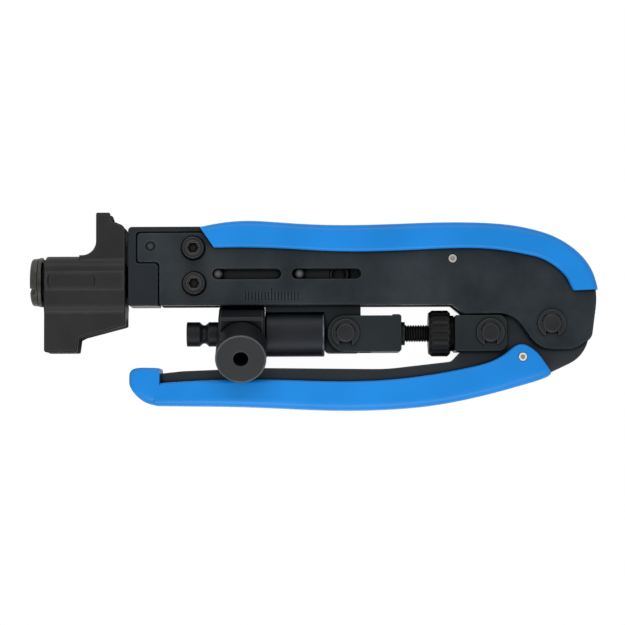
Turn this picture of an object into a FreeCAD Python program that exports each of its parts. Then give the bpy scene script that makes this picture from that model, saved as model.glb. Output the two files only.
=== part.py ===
import FreeCAD, Part
import math
import os
import Sketcher

V = FreeCAD.Vector
os.makedirs("parts", exist_ok=True)
doc = FreeCAD.newDocument("CompressionTool")
sheet = doc.addObject("Spreadsheet::Sheet", "dims")
row_count = 0
nodes = []


def size(name, value):
    """One driving dimension in millimetres or degrees, or a formula from earlier ones."""
    global row_count
    row_count += 1
    sheet.set(f"A{row_count}", name)
    sheet.set(f"B{row_count}", str(value))
    sheet.setAlias(f"B{row_count}", name)
    sheet.recompute()


def num(text):
    """The number that an expression of sheet names gives now."""
    return float(sheet.evalExpression(text))


def full(text):
    """The same expression with the sheet's name in front of each of its words."""
    out = ""
    word = ""
    for sign in text + " ":
        if sign.isalnum() or sign == "_" or sign == ".":
            word += sign
            continue
        plain = word == "" or word[0].isdigit() or word in ("sin", "cos", "sqrt")
        out += word if plain else "dims." + word
        out += sign
        word = ""
    return out.strip()


def body(label):
    made = doc.addObject("PartDesign::Body", label)
    made.Label = label
    nodes.append(made)
    return made


def solid_node(label, shape, where=None):
    made = doc.addObject("Part::Feature", label)
    made.Label = label
    made.Shape = shape
    if where is not None:
        made.Placement = where
    nodes.append(made)
    return made


def new_sketch(owner, name, role, offset="0"):
    sketch = owner.newObject("Sketcher::SketchObject", name)
    plane = [f for f in owner.Origin.OriginFeatures if f.Role == role][0]
    sketch.AttachmentSupport = (plane, [""])
    sketch.MapMode = "FlatFace"
    if offset != "0":
        sketch.setExpression("AttachmentOffset.Base.z", full(offset))
    return sketch


def bind(sketch, number, text):
    sketch.renameConstraint(number, f"c{number}")
    sketch.setExpression(f"Constraints.c{number}", full(text))


def outline(owner, name, points, role="XY_Plane", offset="0"):
    """A closed outline of straight sides whose corners (x, y, radius) come from the sheet."""
    sketch = new_sketch(owner, name, role, offset)
    spots = [V(num(p[0]), num(p[1]), 0) for p in points]
    count = len(spots)
    for i in range(count):
        sketch.addGeometry(Part.LineSegment(spots[i], spots[(i + 1) % count]))
    for i in range(count):
        sketch.addConstraint(Sketcher.Constraint("Coincident", i, 2, (i + 1) % count, 1))
    for i in range(count):
        c = sketch.addConstraint(Sketcher.Constraint("DistanceX", -1, 1, i, 1, spots[i].x))
        bind(sketch, c, points[i][0])
        c = sketch.addConstraint(Sketcher.Constraint("DistanceY", -1, 1, i, 1, spots[i].y))
        bind(sketch, c, points[i][1])
    for i in range(count):
        if len(points[i]) < 3:
            continue
        radius = num(points[i][2])
        sketch.fillet(i, 1, radius, True, True)
        arc = [k for k, g in enumerate(sketch.Geometry) if isinstance(g, Part.ArcOfCircle)][-1]
        c = sketch.addConstraint(Sketcher.Constraint("Radius", arc, radius))
        bind(sketch, c, points[i][2])
    return sketch


def circles(owner, name, rings, role="XY_Plane", offset="0"):
    """Circles (x, y, radius), each bound to the sheet."""
    sketch = new_sketch(owner, name, role, offset)
    for i, (x, y, radius) in enumerate(rings):
        middle = V(num(x), num(y), 0)
        sketch.addGeometry(Part.Circle(middle, V(0, 0, 1), num(radius)))
        c = sketch.addConstraint(Sketcher.Constraint("DistanceX", -1, 1, i, 3, middle.x))
        bind(sketch, c, x)
        c = sketch.addConstraint(Sketcher.Constraint("DistanceY", -1, 1, i, 3, middle.y))
        bind(sketch, c, y)
        c = sketch.addConstraint(Sketcher.Constraint("Radius", i, num(radius)))
        bind(sketch, c, radius)
    return sketch


def box_points(x_low, x_high, y_low, y_high, radius=None):
    corners = [(x_low, y_low), (x_high, y_low), (x_high, y_high), (x_low, y_high)]
    if radius is None:
        return corners
    return [c + (radius,) for c in corners]


def pad(owner, sketch, length, middle=False, back=False):
    made = owner.newObject("PartDesign::Pad", sketch.Name + "_pad")
    made.Profile = sketch
    made.setExpression("Length", full(length))
    made.Midplane = middle
    made.Reversed = back
    return made


def pocket(owner, sketch, length, middle=False, back=False):
    made = owner.newObject("PartDesign::Pocket", sketch.Name + "_cut")
    made.Profile = sketch
    made.setExpression("Length", full(length))
    made.Midplane = middle
    made.Reversed = back
    return made


def turned(owner, name, points):
    """A solid of revolution about the body's X axis, from an outline of (x, radius)."""
    sketch = outline(owner, name, points)
    made = owner.newObject("PartDesign::Revolution", name + "_turn")
    made.Profile = sketch
    made.ReferenceAxis = (sketch, ["H_Axis"])
    made.Angle = 360
    return made


def bevel(owner, name, feature, edges, amount, round_it=False):
    kind = "PartDesign::Fillet" if round_it else "PartDesign::Chamfer"
    made = owner.newObject(kind, name)
    made.Base = (feature, edges)
    made.setExpression("Radius" if round_it else "Size", full(amount))
    return made


def edges_where(feature, test):
    doc.recompute()
    found = []
    for i, edge in enumerate(feature.Shape.Edges):
        if test(edge):
            found.append(f"Edge{i + 1}")
    return found


def put(owner, x="0", y="0", z="0"):
    owner.setExpression("Placement.Base.x", full(x))
    owner.setExpression("Placement.Base.y", full(y))
    owner.setExpression("Placement.Base.z", full(z))


# Common sizes. X runs along the tool from the cable end to the handle pivot, Y across it
# towards the fixed grip, Z out of the tool's front. The working axis is the X axis.
size("plate_thick", 3)
size("plate_inner", 4)
size("plate_outer", "=plate_inner + plate_thick")
size("side_gap", 0.2)
size("inner_half", "=plate_inner - side_gap")
size("run_gap", 0.05)
size("pin_radius", 3)
size("frame_length", 131.33)
size("head_reach", 17.9)
size("handle_arm_length", 18.97)
size("link_length", 44.95)
size("handle_pin_x", "=frame_length - head_reach")
size("handle_pin_y", 2.72)
size("link_rear_x", "=handle_pin_x - handle_arm_length")
size("link_rear_y", 0)
size("link_front_x", "=link_rear_x - link_length")
size("ear_half", 5.4)
size("ear_low_half", 5.8)
size("through", 40)
size("ease", 0.5)

# The two side plates of the frame: steel, with a nose into the head block, two guide slots
# for the carriage and a curved rear end around the handle pivot.
size("plate_nose_x", -15.11)
size("plate_step_x", -8.29)
size("plate_top", 31.35)
size("plate_nose_low", 22.15)
size("plate_low", 8.72)
size("plate_corner_radius", 1.2)
size("plate_nose_radius", 0.9)
size("plate_relief_back", 30.8)
size("plate_relief_run", 3.47)
size("plate_relief_low", 5.9)
size("plate_bow_back", 11.76)
size("plate_bow_radius", 8.7)
size("plate_heel_back", 4.11)
size("plate_heel_length", 11.2)
size("plate_heel_low", -5.3)
size("plate_heel_radius", 8)
size("plate_toe_radius", 7)
size("plate_tail_reach", 14.3)
size("plate_tail_ease", 1.9)
size("plate_tail_rise", 3.4)
size("plate_tail_y", 12)
size("plate_tail_radius", 22)
size("plate_neck_ease", 2.6)
size("plate_neck_rise", 9.4)
size("plate_neck_radius", 10)
size("plate_back_reach", 5.17)
size("plate_back_y", 27.2)
size("plate_back_radius", 14)
size("plate_shoulder_back", 9.43)
size("plate_relief_x", "=handle_pin_x - plate_relief_back")
size("plate_heel_x", "=handle_pin_x - plate_heel_back")
size("plate_tail_x", "=handle_pin_x + plate_tail_reach")
size("slot_centre_y", 18.43)
size("slot_half", 1.55)
size("front_slot_start", 8.33)
size("front_slot_end", 29.53)
size("rear_slot_start", 33)
size("rear_slot_end", 54.33)
size("screw_upper_x", 2.32)
size("screw_upper_y", 26.5)
size("screw_lower_x", 2.63)
size("screw_lower_y", 15.46)
size("screw_radius", 2)
size("screw_gap", 0.2)
size("dowel_x", -10.99)
size("dowel_y", 27.17)
size("dowel_radius", 1.4)
size("rivet_back", 30.58)
size("rivet_x", "=handle_pin_x - rivet_back")
size("rivet_y", 23)
size("rivet_radius", 1.45)
size("mark_first_x", 18.53)
size("mark_step", 1.017)
size("mark_low", 10.12)
size("mark_high", 12.81)
size("mark_long", 13.9)
size("mark_half", 0.11)
size("mark_deep", 0.15)
size("mark_count", 17)

plate_points = [
    ("plate_nose_x", "plate_top", "plate_corner_radius"),
    ("plate_nose_x", "plate_nose_low", "plate_nose_radius"),
    ("plate_step_x", "plate_nose_low", "plate_corner_radius"),
    ("plate_step_x", "plate_low", "plate_nose_radius"),
    ("plate_relief_x", "plate_low", "ease"),
    ("plate_relief_x + plate_relief_run", "plate_relief_low", "ease"),
    ("handle_pin_x - plate_bow_back", "plate_relief_low", "plate_bow_radius"),
    ("plate_heel_x", "plate_heel_low", "plate_heel_radius"),
    ("plate_heel_x + plate_heel_length", "plate_heel_low", "plate_toe_radius"),
    ("plate_tail_x - plate_tail_ease", "plate_heel_low + plate_tail_rise", "plate_toe_radius / 2"),
    ("plate_tail_x", "plate_tail_y", "plate_tail_radius"),
    ("plate_tail_x - plate_neck_ease", "plate_tail_y + plate_neck_rise", "plate_neck_radius"),
    ("handle_pin_x + plate_back_reach", "plate_back_y", "plate_back_radius"),
    ("handle_pin_x - plate_shoulder_back", "plate_top", "plate_tail_radius"),
]


def side_plate(label, offset, screw_hole):
    plate = body(label)
    shape = outline(plate, label + "_outline", plate_points, offset=offset)
    pad(plate, shape, "plate_thick")
    low = "slot_centre_y - slot_half"
    high = "slot_centre_y + slot_half"
    soft = "slot_half - 0.01"
    front = box_points("front_slot_start", "front_slot_end", low, high, soft)
    rear = box_points("rear_slot_start", "rear_slot_end", low, high, soft)
    pocket(plate, outline(plate, label + "_front_slot", front), "through", middle=True)
    pocket(plate, outline(plate, label + "_rear_slot", rear), "through", middle=True)
    holes = [
        ("screw_upper_x", "screw_upper_y", screw_hole),
        ("screw_lower_x", "screw_lower_y", screw_hole),
        ("dowel_x", "dowel_y", "dowel_radius"),
        ("rivet_x", "rivet_y", "rivet_radius"),
        ("handle_pin_x", "handle_pin_y", "pin_radius"),
    ]
    return plate, pocket(plate, circles(plate, label + "_holes", holes), "through", middle=True)


size("cap_radius", 3.4)
size("cap_sink", 0.5)
size("cap_gap", 0.3)
front_plate, last = side_plate("front_side_plate", "plate_inner", "screw_radius + screw_gap")
face = "plate_outer"
sinks = [
    ("screw_upper_x", "screw_upper_y", "cap_radius + cap_gap"),
    ("screw_lower_x", "screw_lower_y", "cap_radius + cap_gap"),
]
pocket(front_plate, circles(front_plate, "screw_sinks", sinks, offset=face), "cap_sink")
mark = box_points("mark_first_x - mark_half", "mark_first_x + mark_half", "mark_low", "mark_high")
mark_cut = pocket(front_plate, outline(front_plate, "scale_mark", mark, offset=face), "mark_deep")
marks = front_plate.newObject("PartDesign::LinearPattern", "scale_marks")
marks.Originals = [mark_cut]
marks.Direction = (mark_cut.Profile[0], ["H_Axis"])
marks.setExpression("Length", full("mark_step * (mark_count - 1)"))
marks.setExpression("Occurrences", full("mark_count"))
front_plate.Tip = marks
middle_x = "mark_first_x + mark_step * (mark_count - 1) / 2"
tall = box_points(middle_x + " - mark_half", middle_x + " + mark_half", "mark_high", "mark_long")
pocket(front_plate, outline(front_plate, "long_mark", tall, offset=face), "mark_deep")
side_plate("rear_side_plate", "0 - plate_outer", "screw_radius")

# The head block at the cable end: a steel block between and around the plates' noses.
size("head_left", "=0 - head_reach")
size("head_top", 33.2)
size("seat_gap", 0.3)
size("seat_run", 2)
size("head_low_radius", 0.6)
size("head_right_radius", 1.5)
size("head_right", 6.6)
size("head_low", 8.66)
size("head_clear_low", 10.4)
size("head_corner", 1.2)
size("turret_axis_y", 16.43)
size("shaft_radius", 3)
head = body("head_block")
head_points = [
    ("head_left", "head_low", "head_low_radius"),
    ("plate_step_x", "head_low"),
    ("plate_step_x", "head_clear_low"),
    ("head_right", "head_clear_low", "head_right_radius"),
    ("head_right", "head_top"),
    ("head_left", "head_top", "head_corner"),
]
pad(head, outline(head, "head_outline", head_points), "2 * plate_outer", middle=True)
nose_points = [
    ("plate_nose_x - seat_gap", "plate_top + seat_gap", "plate_corner_radius"),
    ("plate_nose_x - seat_gap", "plate_nose_low - seat_gap", "plate_nose_radius"),
    ("plate_step_x - seat_gap", "plate_nose_low - seat_gap", "plate_corner_radius"),
    ("plate_step_x - seat_gap", "head_low - seat_run"),
    ("head_right + seat_run", "head_low - seat_run"),
    ("head_right + seat_run", "plate_top + seat_gap"),
]
pocket(head, outline(head, "front_seat", nose_points, offset="plate_inner"), "through", back=True)
pocket(head, outline(head, "rear_seat", nose_points, offset="0 - plate_inner"), "through")
head_holes = [
    ("screw_upper_x", "screw_upper_y", "screw_radius + screw_gap"),
    ("screw_lower_x", "screw_lower_y", "screw_radius + screw_gap"),
    ("dowel_x", "dowel_y", "dowel_radius"),
]
pocket(head, circles(head, "head_holes", head_holes), "through", middle=True)
size("shaft_deep", 12)
bore = [("turret_axis_y", "0", "shaft_radius")]
bore_cut = pocket(head, circles(head, "shaft_bore", bore, "YZ_Plane", "head_left"), "shaft_deep")
bore_cut.Reversed = True

# The spacer that keeps the plates apart along the back of the frame, under the fixed grip.
size("spacer_start", 6.8)
size("spacer_back", 15.43)
size("spacer_end", "=handle_pin_x - spacer_back")
size("spacer_low", 26.4)
size("spacer_tab_half", 4)
size("spacer_tab_slope", 4)
size("spacer_tab_low", 19.6)
size("spacer_radius", 1.5)
spacer = body("frame_spacer")
spacer_points = [
    ("spacer_start", "plate_top"),
    ("spacer_start", "spacer_low", "spacer_radius"),
    ("rivet_x - spacer_tab_half - spacer_tab_slope", "spacer_low", "spacer_radius"),
    ("rivet_x - spacer_tab_half", "spacer_tab_low", "spacer_radius"),
    ("rivet_x + spacer_tab_half", "spacer_tab_low", "spacer_radius"),
    ("rivet_x + spacer_tab_half + spacer_tab_slope", "spacer_low", "spacer_radius"),
    ("spacer_end", "spacer_low", "spacer_radius"),
    ("spacer_end", "plate_top"),
]
pad(spacer, outline(spacer, "spacer_outline", spacer_points), "2 * plate_inner", middle=True)
tab_hole = [("rivet_x", "rivet_y", "rivet_radius")]
pocket(spacer, circles(spacer, "rivet_hole", tab_hole), "through", middle=True)

size("rim_ease", 0.2)


# Round pins across the frame: a locating dowel and a bright rivet, flush with the plates.
def cross_pin(label, x, y, radius, half):
    pin = body(label)
    put(pin, x, y)
    shape = circles(pin, label + "_round", [("0", "0", radius)])
    done = pad(pin, shape, "2 * (" + half + ")", middle=True)
    rims = edges_where(done, lambda e: len(e.Vertexes) == 1)
    bevel(pin, label + "_rim", done, rims, "rim_ease")
    return pin


size("rivet_proud", 0.25)
size("rivet_half", "=plate_outer + rivet_proud")
cross_pin("head_dowel", "dowel_x", "dowel_y", "dowel_radius", "plate_outer")
cross_pin("frame_rivet", "rivet_x", "rivet_y", "rivet_radius", "rivet_half")

# Two socket cap screws hold the plates to the head block. They are threaded in the rear plate.
size("cap_tall", 3.1)
size("cap_ease", 0.35)
size("socket_radius", 1.75)
size("socket_deep", 1.7)
size("mouth_radius", 2.1)
size("mouth_deep", 0.3)
size("cap_seat", "=plate_outer - cap_sink")


def cap_screw(label, x, y):
    screw = body(label)
    put(screw, x, y)
    shank = circles(screw, label + "_shank", [("0", "0", "screw_radius")], offset="0 - plate_outer")
    pad(screw, shank, "plate_outer + cap_seat")
    cap = circles(screw, label + "_cap", [("0", "0", "cap_radius")], offset="cap_seat")
    done = pad(screw, cap, "cap_tall")
    top = num("cap_seat + cap_tall")
    rims = edges_where(done, lambda e: abs(e.CenterOfMass.z - top) < 0.01)
    bevel(screw, label + "_ease", done, rims, "cap_ease", True)
    doc.recompute()
    mouth = circles(screw, label + "_mouth", [("0", "0", "mouth_radius")], offset="cap_seat + cap_tall")
    pocket(screw, mouth, "mouth_deep")
    six = []
    for i in range(6):
        turn = 60 * i
        six.append((f"socket_radius * cos({turn})", f"socket_radius * sin({turn})"))
    socket = outline(screw, label + "_socket", six, offset="cap_seat + cap_tall")
    pocket(screw, socket, "mouth_deep + socket_deep")


cap_screw("upper_plate_screw", "screw_upper_x", "screw_upper_y")
cap_screw("lower_plate_screw", "screw_lower_x", "screw_lower_y")


# Pivot pins with a groove near each end, and the snap rings that sit in those grooves.
size("pin_half", 8.3)
size("pin_ease", 0.45)
size("waist_radius", 2.4)
size("ring_start", "=plate_outer + run_gap")
size("ring_thick", 0.7)
size("ring_seat_radius", 2.4)
size("ring_radius", 4.3)
size("ring_band", 1.05)
size("ring_mouth_ease", 0.45)


def pivot_pin(label, x, y, waist=False):
    """A pin in both ears or plates. With a waist it has room in the plate between them."""
    pin = body(label)
    put(pin, x, y)
    shape = circles(pin, label + "_round", [("0", "0", "pin_radius")])
    done = pad(pin, shape, "2 * pin_half", middle=True)
    rims = edges_where(done, lambda e: len(e.Vertexes) == 1)
    bevel(pin, label + "_rim", done, rims, "pin_ease")
    doc.recompute()
    if waist:
        rim = [("0", "0", "2 * pin_radius"), ("0", "0", "waist_radius")]
        middle = circles(pin, label + "_waist", rim)
        pocket(pin, middle, "2 * (plate_inner - run_gap)", middle=True)
        doc.recompute()
    band = [("0", "0", "2 * pin_radius"), ("0", "0", "ring_seat_radius")]
    front = circles(pin, label + "_front_groove", band, offset="ring_start")
    pocket(pin, front, "ring_thick + run_gap", back=True)
    rear = circles(pin, label + "_rear_groove", band, offset="0 - ring_start")
    pocket(pin, rear, "ring_thick + run_gap")


def snap_ring(label, x, y, turn, rear=False):
    """A spring steel ring, open at the bottom, that grips the groove with three lugs."""
    outer = num("ring_radius")
    seat = num("ring_seat_radius")
    thick = num("ring_thick")
    ring = Part.makeCylinder(outer, thick)
    ring = ring.cut(Part.makeCylinder(seat, thick))
    relief = outer - num("ring_band")
    for middle in (35, 145):
        window = Part.makeCylinder(relief, thick, V(0, 0, 0), V(0, 0, 1), 56)
        window = window.cut(Part.makeCylinder(seat, thick))
        window.rotate(V(0, 0, 0), V(0, 0, 1), middle - 28)
        ring = ring.cut(window)
    half = seat - num("ring_mouth_ease")
    mouth = Part.makeBox(2 * half, outer, thick, V(-half, -outer, 0))
    ring = ring.cut(mouth)
    ring.rotate(V(0, 0, 0), V(0, 0, 1), turn)
    low = num("ring_start")
    height = -low - thick if rear else low
    spot = FreeCAD.Placement(V(num(x), num(y), height), FreeCAD.Rotation())
    return solid_node(label, ring, spot)


def pivot(name, x, y, turn, waist=False):
    pivot_pin(name + "_pin", x, y, waist)
    snap_ring(name + "_front_ring", x, y, turn)
    snap_ring(name + "_rear_ring", x, y, turn, True)


pivot("handle_pivot", "handle_pin_x", "handle_pin_y", -25)
pivot("link_rear_pivot", "link_rear_x", "link_rear_y", -20, waist=True)
pivot("link_front_pivot", "link_front_x", "0", -30)

# The anvil turret: a cast steel hub on the screw at the cable end, with two forked lobes half
# a turn apart. The cable lies in the fork and the connector backs on to its seat.
size("turret_gap", 0.9)
size("turret_length", 25.2)
size("hub_radius", 8.1)
size("hub_boss_radius", 5.2)
size("hub_ease", 0.8)
size("lobe_half", 6.5)
size("low_reach", 22.1)
size("high_reach", 21.3)
size("fork_half", 3.7)
size("low_seat_length", 10.1)
size("low_step_length", 2.1)
size("low_slope_start", 17.3)
size("low_slope_end", 13.9)
size("high_seat_length", 4.2)
size("high_length", 9.1)
size("high_slope_start", 18.7)
size("high_slope_end", 17)
size("high_slope_radius", 2.4)
size("root_radius", 4.4)
size("cradle_radius", 5.2)
size("hub_right", "=head_left - turret_gap")
size("hub_left", "=hub_right - turret_length")
size("low_seat_x", "=hub_left + low_seat_length")
size("high_left", "=hub_right - high_length")
size("high_seat_x", "=high_left + high_seat_length")
size("shaft_gap", 0.05)
turret = body("anvil_turret")
put(turret, "0", "turret_axis_y")
hub_points = [
    ("hub_left", "0"),
    ("hub_left", "hub_radius", "hub_ease"),
    ("hub_right", "hub_radius", "hub_ease"),
    ("hub_right", "hub_boss_radius"),
    ("head_left", "hub_boss_radius - hub_ease / 2"),
    ("head_left", "0"),
]
turned(turret, "hub_profile", hub_points)
low_points = [
    ("hub_left", "0"),
    ("hub_left", "0 - low_reach", "hub_ease"),
    ("low_seat_x", "0 - low_reach", "ease"),
    ("low_seat_x + low_step_length / 4", "0 - low_slope_start - hub_ease", "ease"),
    ("low_seat_x + low_step_length", "0 - low_slope_start", "hub_ease"),
    ("hub_right", "0 - low_slope_end", "hub_ease"),
    ("hub_right", "0"),
]
pad(turret, outline(turret, "low_lobe", low_points), "2 * lobe_half", middle=True)
high_points = [
    ("high_left - root_radius - hub_ease", "0"),
    ("hub_right", "0"),
    ("hub_right", "high_slope_end", "high_slope_radius"),
    ("high_seat_x + hub_ease", "high_slope_start", "hub_ease"),
    ("high_seat_x", "high_reach", "ease"),
    ("high_left", "high_reach", "ease"),
    ("high_left", "hub_radius - run_gap", "root_radius"),
    ("high_left - root_radius - hub_ease", "hub_radius - run_gap"),
]
pad(turret, outline(turret, "high_lobe", high_points), "2 * lobe_half", middle=True)

# The hub bulges past the lobes' faces, front and back, with a rounded step above and below.
size("saddle_high", 4.9)
size("saddle_low", 8)
size("saddle_half", 7.6)
size("saddle_slope", 1.7)
size("saddle_radius", 1.3)
saddle = []
for side in ("0 - ", ""):
    step = side + "lobe_half"
    level = side + "saddle_half"
    corners = [
        ("0 - saddle_low - saddle_slope", step),
        ("0 - saddle_low", level, "saddle_radius"),
        ("saddle_high", level, "saddle_radius"),
        ("saddle_high + saddle_slope", step),
    ]
    saddle += corners if side else corners[::-1]
saddle_sketch = outline(turret, "saddle", saddle, "YZ_Plane", "hub_left")
pad(turret, saddle_sketch, "turret_length")


def cut_along(name, points, start, length):
    sketch = outline(turret, name, points, "YZ_Plane", start)
    made = pocket(turret, sketch, length)
    made.Reversed = True
    return made


fork_low = "0 - turret_axis_y + fork_half"
fork_high = "turret_axis_y - fork_half"
low_tip = "0 - low_reach - fork_half"
high_tip = "high_reach + fork_half"
slot_low = [
    (fork_low, "0 - fork_half", "fork_half - 0.01"),
    (fork_low, "fork_half", "fork_half - 0.01"),
    (low_tip, "fork_half"),
    (low_tip, "0 - fork_half"),
]
slot_high = [
    (fork_high, "0 - fork_half", "fork_half - 0.01"),
    (high_tip, "0 - fork_half"),
    (high_tip, "fork_half"),
    (fork_high, "fork_half", "fork_half - 0.01"),
]
cut_along("low_fork", slot_low, "hub_left - 1", "through")
cut_along("high_fork", slot_high, "high_left - 1", "through")
wide_low = "0 - turret_axis_y + cradle_radius"
wide_high = "turret_axis_y - cradle_radius"
cradle_low = [
    (wide_low, "0 - cradle_radius", "cradle_radius - 0.01"),
    (wide_low, "cradle_radius", "cradle_radius - 0.01"),
    (low_tip, "cradle_radius"),
    (low_tip, "0 - cradle_radius"),
]
cradle_high = [
    (wide_high, "0 - cradle_radius", "cradle_radius - 0.01"),
    (high_tip, "0 - cradle_radius"),
    (high_tip, "cradle_radius"),
    (wide_high, "cradle_radius", "cradle_radius - 0.01"),
]
cut_along("low_cradle", cradle_low, "low_seat_x", "through")
cut_along("high_cradle", cradle_high, "high_seat_x", "through")
size("panel_start", 1.3)
size("panel_length", 14.5)
size("panel_half", 2.2)
size("panel_radius", 1.4)
size("panel_deep", 0.35)
panel = box_points("hub_left + panel_start", "hub_left + panel_start + panel_length",
                   "0 - panel_half", "panel_half", "panel_radius")
panel_sketch = outline(turret, "front_panel", panel, offset="hub_radius - panel_deep")
pocket(turret, panel_sketch, "2 * panel_half", back=True)
shaft_hole = [("0", "0", "shaft_radius + shaft_gap")]
hole_sketch = circles(turret, "shaft_hole", shaft_hole, "YZ_Plane", "hub_left - 1")
hole = pocket(turret, hole_sketch, "through")
hole.Reversed = True

# The turret's slotted screw: a domed head, a thin washer under it and a plain shank that the
# turret turns on, fixed in the head block.
size("washer_thick", 0.9)
size("washer_radius", 6.2)
size("dome_length", 3.6)
size("dome_radius", 7.8)
size("dome_ease", 1.5)
size("coin_slot_half", 0.95)
size("coin_slot_deep", 1.6)
size("coin_slot_turn", 27)
size("washer_left", "=hub_left - washer_thick")
size("head_end_x", "=washer_left - dome_length")
screw = body("turret_screw")
screw.Placement.Rotation = FreeCAD.Rotation(V(1, 0, 0), 0)
put(screw, "0", "turret_axis_y")
screw.setExpression("Placement.Rotation.Angle", full("coin_slot_turn"))
screw.Placement.Rotation.Axis = V(1, 0, 0)
screw_points = [
    ("head_end_x", "0"),
    ("head_end_x", "dome_radius - dome_ease", "dome_ease"),
    ("head_end_x + dome_ease", "dome_radius", "dome_ease"),
    ("washer_left", "dome_radius", "ease"),
    ("washer_left", "shaft_radius"),
    ("head_left + shaft_deep", "shaft_radius"),
    ("head_left + shaft_deep", "0"),
]
turned(screw, "screw_profile", screw_points)
coin = box_points("0 - 2 * dome_radius", "2 * dome_radius", "0 - coin_slot_half", "coin_slot_half")
coin_slot = [(c[1], c[0]) for c in coin]
coin_cut = pocket(screw, outline(screw, "coin_slot", coin_slot, "YZ_Plane", "head_end_x - 1"),
                  "coin_slot_deep + 1")
coin_cut.Reversed = True
washer = body("turret_washer")
put(washer, "0", "turret_axis_y")
ring = [("0", "0", "washer_radius"), ("0", "0", "shaft_radius + shaft_gap")]
pad(washer, circles(washer, "washer_round", ring, "YZ_Plane", "washer_left"), "washer_thick")

# The carriage: one steel bar that slides between the plates on two guide pins, with a lug
# down to the link's front pivot.
size("bar_left", 8.2)
size("bar_reach", 1.19)
size("bar_top", 22.2)
size("bar_low", 11.8)
size("bar_step_x", 24.6)
size("bar_seat_y", 6.6)
size("lug_back", 6.5)
size("lug_reach", 4.79)
size("lug_low", -6.1)
size("lug_rise", 0.4)
size("lug_slope", 1.8)
size("bar_radius", 1.5)
size("hole_back", 1.91)
size("hole_deep", 2.5)
size("lug_left", "=link_front_x - lug_back")
size("lug_right", "=link_front_x + lug_reach")
size("bar_right", "=link_front_x + bar_reach")
size("hole_radius", 3.1)
size("guide_front_x", 10)
size("guide_rear_x", 35.3)
size("guide_radius", 1.45)
carriage = body("carriage_slide")
carriage_points = [
    ("bar_left", "bar_low", "bar_radius"),
    ("bar_step_x", "bar_low"),
    ("bar_step_x", "bar_seat_y"),
    ("lug_left", "bar_seat_y"),
    ("lug_left", "lug_low", "bar_radius"),
    ("lug_right", "lug_low", "bar_radius"),
    ("lug_right", "bar_low + lug_rise", "bar_radius"),
    ("bar_right", "bar_low + lug_rise + lug_slope", "bar_radius / 2"),
    ("bar_right", "bar_top", "bar_radius"),
    ("bar_left", "bar_top", "bar_radius"),
]
pad(carriage, outline(carriage, "bar_outline", carriage_points), "2 * inner_half", middle=True)
bar_holes = [
    ("guide_front_x", "slot_centre_y", "guide_radius"),
    ("guide_rear_x", "slot_centre_y", "guide_radius"),
    ("link_front_x", "0", "pin_radius + run_gap"),
]
pocket(carriage, circles(carriage, "bar_holes", bar_holes), "through", middle=True)
hole_ring = [("link_front_x - hole_back", "slot_centre_y", "hole_radius")]
round_hole = circles(carriage, "round_hole", hole_ring, offset="inner_half")
pocket(carriage, round_hole, "hole_deep")
guide_half = "plate_outer - 2 * run_gap"
cross_pin("front_guide_pin", "guide_front_x", "slot_centre_y", "guide_radius", guide_half)
cross_pin("rear_guide_pin", "guide_rear_x", "slot_centre_y", "guide_radius", guide_half)

# The barrel under the bar: turned, keyed to the bar by a flat and butted against the lug. Its
# left end is a flat tongue with a round end, which the swivel head turns on.
size("barrel_left", 24.55)
size("barrel_radius", 7.1)
size("head_tilt", 25)
size("swivel_x", 17.35)
size("tongue_half", 2.5)
size("tongue_round", 3.6)
size("swivel_pin_radius", 1.5)


def tilted_body(label):
    """A body whose own Y axis is the swivel axis, turned about the tool's long axis."""
    made = body(label)
    made.Placement = FreeCAD.Placement(V(0, 0, 0), FreeCAD.Rotation(V(1, 0, 0), num("head_tilt")))
    made.setExpression("Placement.Rotation.Angle", full("head_tilt"))
    return made


barrel = tilted_body("barrel")
barrel_points = [
    ("barrel_left", "0"),
    ("barrel_left", "barrel_radius", "ease"),
    ("lug_left", "barrel_radius", "ease"),
    ("lug_left", "0"),
]
turned(barrel, "barrel_profile", barrel_points)
key_half = "(inner_half + run_gap)"
key = box_points("bar_seat_y", "2 * barrel_radius", "0 - " + key_half, key_half)
key_sketch = outline(barrel, "key_flat", key, "YZ_Plane", "barrel_left - 1")
turn_back = FreeCAD.Rotation(V(0, 0, 1), -num("head_tilt"))
key_sketch.AttachmentOffset = FreeCAD.Placement(V(0, 0, num("barrel_left - 1")), turn_back)
key_cut = pocket(barrel, key_sketch, "through", back=True)
tongue_points = [
    ("swivel_x - tongue_round", "0 - tongue_round", "tongue_round - 0.01"),
    ("barrel_left + 1", "0 - tongue_round"),
    ("barrel_left + 1", "tongue_round"),
    ("swivel_x - tongue_round", "tongue_round", "tongue_round - 0.01"),
]
pad(barrel, outline(barrel, "tongue", tongue_points, "XZ_Plane"), "2 * tongue_half", middle=True)
eye = [("swivel_x", "0", "swivel_pin_radius + run_gap")]
pocket(barrel, circles(barrel, "tongue_eye", eye, "XZ_Plane"), "through", middle=True)

# The swivel block carries both tips at a right angle. It is square towards the front, round
# behind its pin so that it clears the barrel as it turns, and slotted for the barrel's tongue.
size("block_half", 7.15)
size("block_front", 9)
size("block_top", 9)
size("block_low", -7.2)
size("block_ease", 0.7)
size("tongue_gap", 0.05)
size("mouth_gap", 0.6)
size("mouth_round", 1)
block = tilted_body("swivel_block")
block_points = [
    ("swivel_x - block_half", "block_front"),
    ("swivel_x - block_half", "0 - block_half", "block_half - 0.02"),
    ("swivel_x + block_half", "0 - block_half", "block_half - 0.02"),
    ("swivel_x + block_half", "block_front"),
]
block_sketch = outline(block, "block_outline", block_points, "XZ_Plane", "0 - block_top")
done = pad(block, block_sketch, "block_top - block_low")
doc.recompute()
front_level = num("block_front")
ends = (num("block_top"), num("block_low"))


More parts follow.
